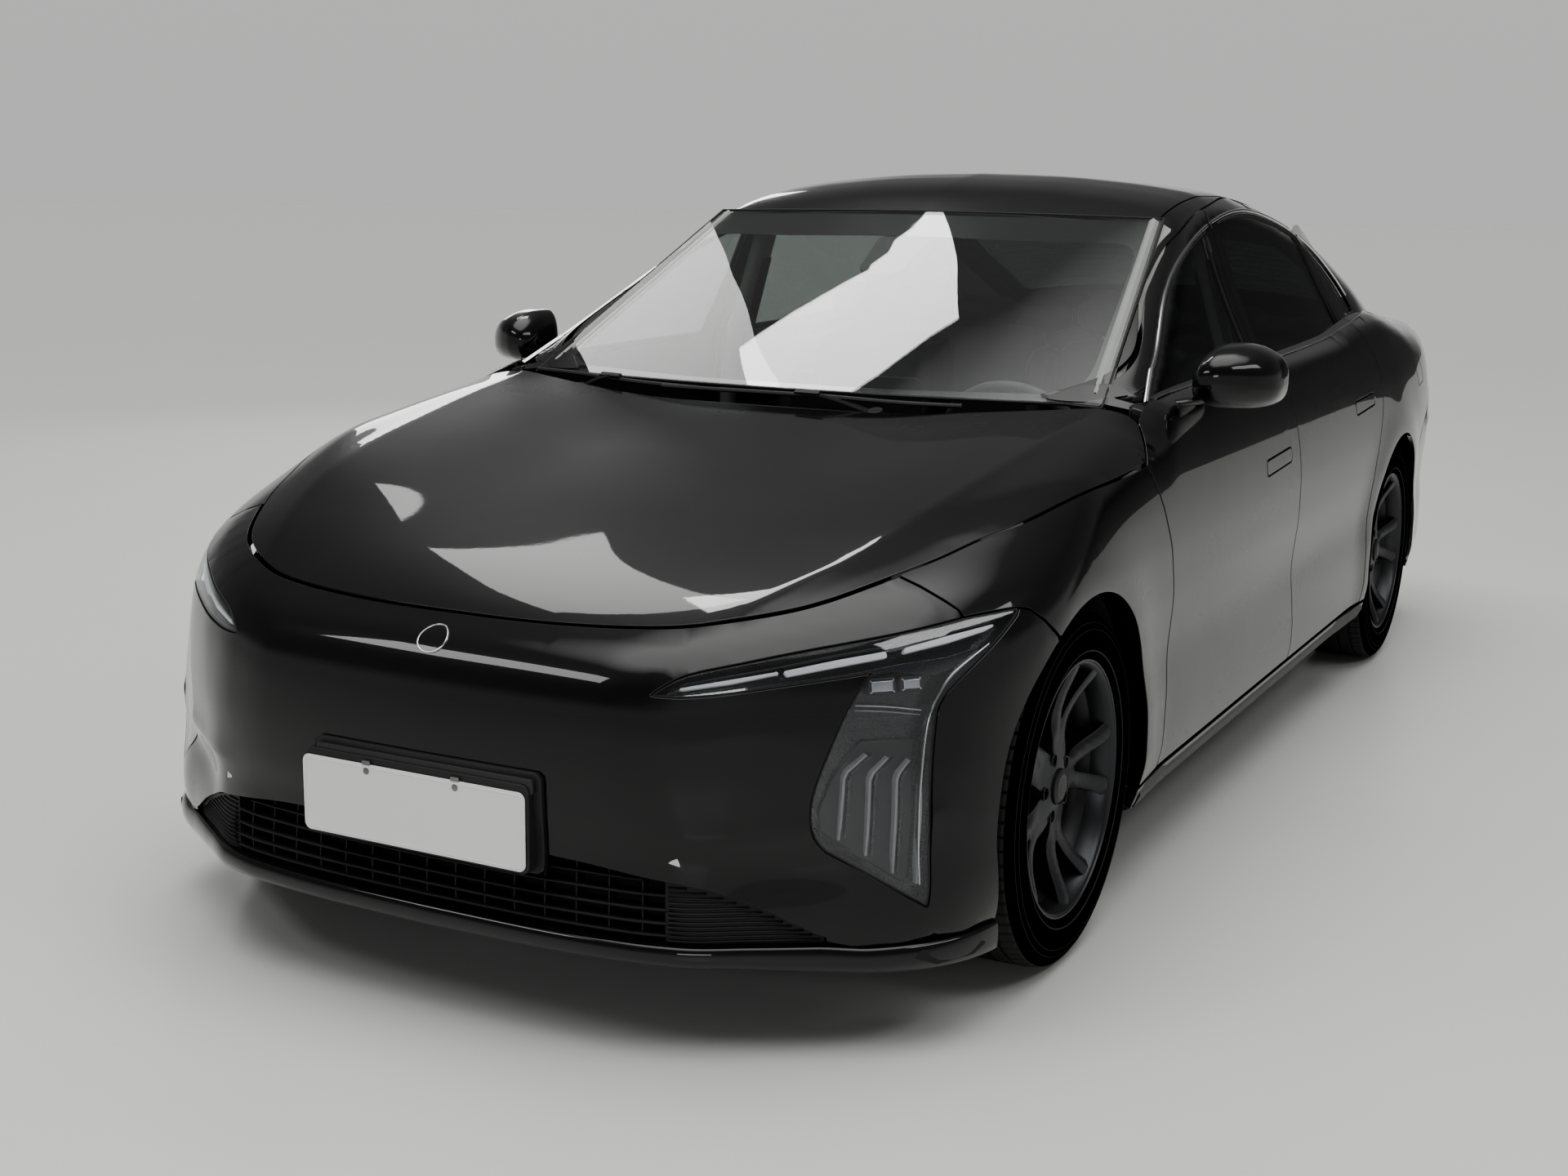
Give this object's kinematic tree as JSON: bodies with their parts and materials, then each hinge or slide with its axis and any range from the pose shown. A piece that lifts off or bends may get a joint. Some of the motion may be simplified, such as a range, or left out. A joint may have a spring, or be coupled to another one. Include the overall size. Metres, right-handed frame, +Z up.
{
  "type": "sedan car",
  "caption": "Black four-door sedan with opening doors, hood and boot lid, steered front wheels, slim lamp strips over upright lower lamps, a low wide intake and five-double-spoke wheels.",
  "frame": {"origin": "centre of the bounding box's bottom face, on the ground under the middle of the car", "axes": "+Z up, -Y towards the car's nose, +X towards the car's left side"},
  "size_m": [2.092, 4.838, 1.4934],
  "materials": {
    "black_paint": "gloss",
    "dark_trim": "satin",
    "gloss_trim": "gloss",
    "lamp_lens": "gloss",
    "tail_lens": "gloss",
    "tinted_glass": "polished",
    "underbody": "satin",
    "cast_housing": "cast",
    "suspension_steel": "painted",
    "hub_steel": "machined",
    "wheel_alloy": "satin",
    "tyre": "matte",
    "seat_cover": "grain",
    "cabin_trim": "grain",
    "helm_rim": "smooth",
    "plate_white": "painted"
  },
  "bodies": {
    "body": {"front_bumper": "black_paint", "headlamps": "lamp_lens", "lower_grille": "gloss_trim", "front_wings": "black_paint", "roof_panel": "black_paint", "windshield": "tinted_glass", "rear_window": "tinted_glass", "side_frames": "black_paint", "quarter_windows": "tinted_glass", "quarter_panels": "black_paint", "tail_lamps": "tail_lens", "rear_bumper": "black_paint", "sills": "dark_trim", "floor_pan": "underbody", "firewall": "underbody", "cowl_panel": "underbody", "parcel_shelf": "cabin_trim", "battery_pack": "cast_housing", "drive_unit": "cast_housing", "bonnet_bay_tub": "underbody", "dashboard": "cabin_trim", "center_console": "cabin_trim", "front_seats": "seat_cover", "rear_seat": "seat_cover", "front_suspension": "suspension_steel", "rear_suspension": "suspension_steel", "arch_liners": "underbody", "number_plate": "plate_white"},
    "front_door_l": {"front_door_left": "black_paint", "front_door_glass_left": "tinted_glass", "mirror_left": "gloss_trim"},
    "front_door_r": {"front_door_right": "black_paint", "front_door_glass_right": "tinted_glass", "mirror_right": "gloss_trim"},
    "rear_door_l": {"rear_door_left": "black_paint", "rear_door_glass_left": "tinted_glass"},
    "rear_door_r": {"rear_door_right": "black_paint", "rear_door_glass_right": "tinted_glass"},
    "hood_body": {"hood": "black_paint"},
    "lid": {"boot_lid": "black_paint"},
    "knuckle_l": {"knuckle_left": "hub_steel"},
    "knuckle_r": {"knuckle_right": "hub_steel"},
    "wheel_fl": {"wheel_front_left": "wheel_alloy", "tyre_front_left": "tyre"},
    "wheel_fr": {"wheel_front_right": "wheel_alloy", "tyre_front_right": "tyre"},
    "wheel_rl": {"wheel_rear_left": "wheel_alloy", "tyre_rear_left": "tyre"},
    "wheel_rr": {"wheel_rear_right": "wheel_alloy", "tyre_rear_right": "tyre"},
    "helm": {"steering_wheel": "helm_rim"}
  },
  "joints": [
    {"name": "front_left_door", "type": "hinge", "parent": "body", "child": "front_door_l", "pos_m": [0.921, -1.066, 0.6], "axis": [0, 0, -1], "range_deg": [0, 66]},
    {"name": "front_right_door", "type": "hinge", "parent": "body", "child": "front_door_r", "pos_m": [-0.921, -1.066, 0.6], "axis": [0, 0, 1], "range_deg": [0, 66]},
    {"name": "rear_left_door", "type": "hinge", "parent": "body", "child": "rear_door_l", "pos_m": [0.922, 0.04, 0.6], "axis": [0, 0.0718, -0.9974], "range_deg": [0, 66]},
    {"name": "rear_right_door", "type": "hinge", "parent": "body", "child": "rear_door_r", "pos_m": [-0.922, 0.04, 0.6], "axis": [0, -0.0718, 0.9974], "range_deg": [0, 66]},
    {"name": "hood_hinge", "type": "hinge", "parent": "body", "child": "hood_body", "pos_m": [0, -1.03, 0.955], "axis": [-1, 0, 0], "range_deg": [0, 45]},
    {"name": "boot_hinge", "type": "hinge", "parent": "body", "child": "lid", "pos_m": [0, 1.99, 1.035], "axis": [1, 0, 0], "range_deg": [0, 75]},
    {"name": "steer_left", "type": "hinge", "parent": "body", "child": "knuckle_l", "pos_m": [0.79, -1.598, 0.343], "axis": [0, 0, 1], "range_deg": [-33, 33]},
    {"name": "steer_right", "type": "hinge", "parent": "body", "child": "knuckle_r", "pos_m": [-0.79, -1.598, 0.343], "axis": [0, 0, 1], "range_deg": [-33, 33]},
    {"name": "steering_column", "type": "hinge", "parent": "body", "child": "helm", "pos_m": [0.38, -0.56, 0.83], "axis": [0, 0.8988, 0.4384], "range_deg": [-470, 470]},
    {"name": "spin_front_left", "type": "hinge", "parent": "knuckle_l", "child": "wheel_fl", "pos_m": [0.812, -1.598, 0.343], "axis": [1, 0, 0], "continuous": true},
    {"name": "spin_front_right", "type": "hinge", "parent": "knuckle_r", "child": "wheel_fr", "pos_m": [-0.812, -1.598, 0.343], "axis": [1, 0, 0], "continuous": true},
    {"name": "spin_rear_left", "type": "hinge", "parent": "body", "child": "wheel_rl", "pos_m": [0.812, 1.317, 0.343], "axis": [1, 0, 0], "continuous": true},
    {"name": "spin_rear_right", "type": "hinge", "parent": "body", "child": "wheel_rr", "pos_m": [-0.812, 1.317, 0.343], "axis": [1, 0, 0], "continuous": true}
  ],
  "couplings": [
    {"joint": "steer_right", "follows": "steer_left", "ratio": 1},
    {"joint": "steering_column", "follows": "steer_left", "ratio": 14}
  ]
}
